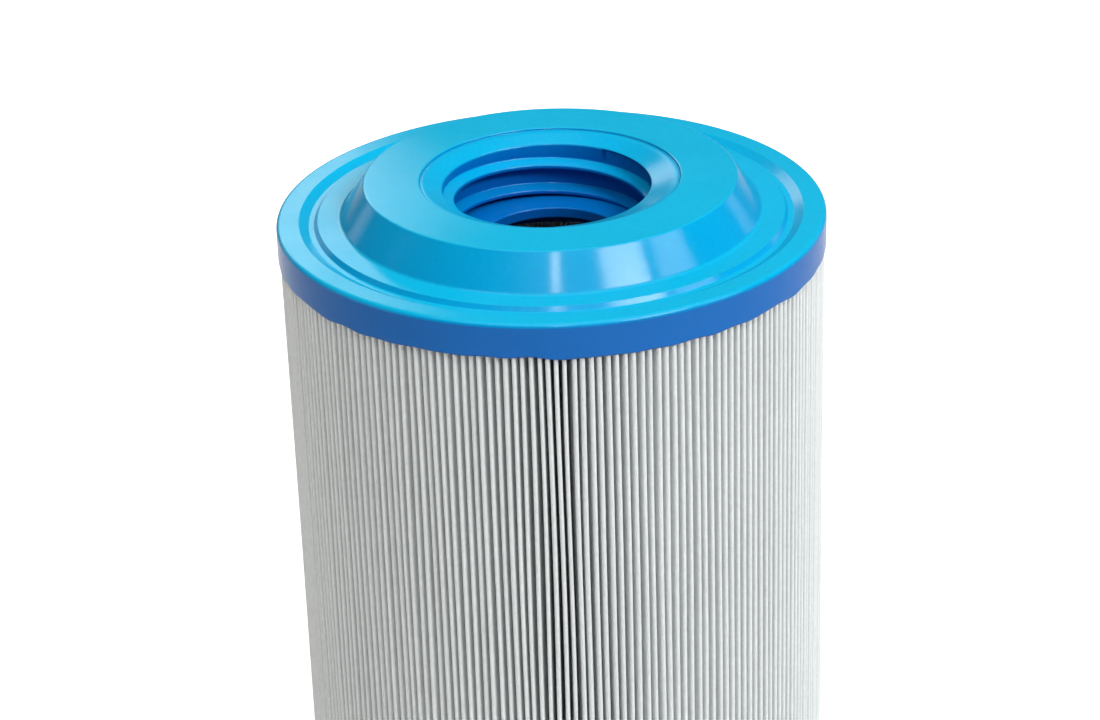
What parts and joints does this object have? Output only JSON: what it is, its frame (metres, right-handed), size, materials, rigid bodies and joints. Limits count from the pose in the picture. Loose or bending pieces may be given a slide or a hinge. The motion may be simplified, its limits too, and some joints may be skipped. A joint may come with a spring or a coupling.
{
  "type": "filter cartridge",
  "caption": "Round pleated filter cartridge with cast end caps, a coarse female thread in a raised boss at one end, and a perforated core.",
  "frame": {"origin": "centre of the closed end's resting face", "axes": "+Z along the cartridge's axis, from the closed end up to the threaded mouth; the media's seam lies on the +Y side"},
  "size_m": [0.125, 0.125, 0.235],
  "materials": {
    "cap_resin": "semi-gloss cast polyurethane",
    "insert_plastic": "semi-gloss moulded plastic",
    "filter_media": "point-bonded non-woven polyester",
    "seam_strip": "heat-welded polyester binding",
    "core_plastic": "matt moulded plastic"
  },
  "bodies": {
    "root": {"threaded_end_cap": "cap_resin", "thread_insert": "insert_plastic", "pleated_media": "filter_media", "media_seam": "seam_strip", "core_tube": "core_plastic", "core_plug": "core_plastic", "closed_end_cap": "cap_resin"}
  },
  "joints": []
}
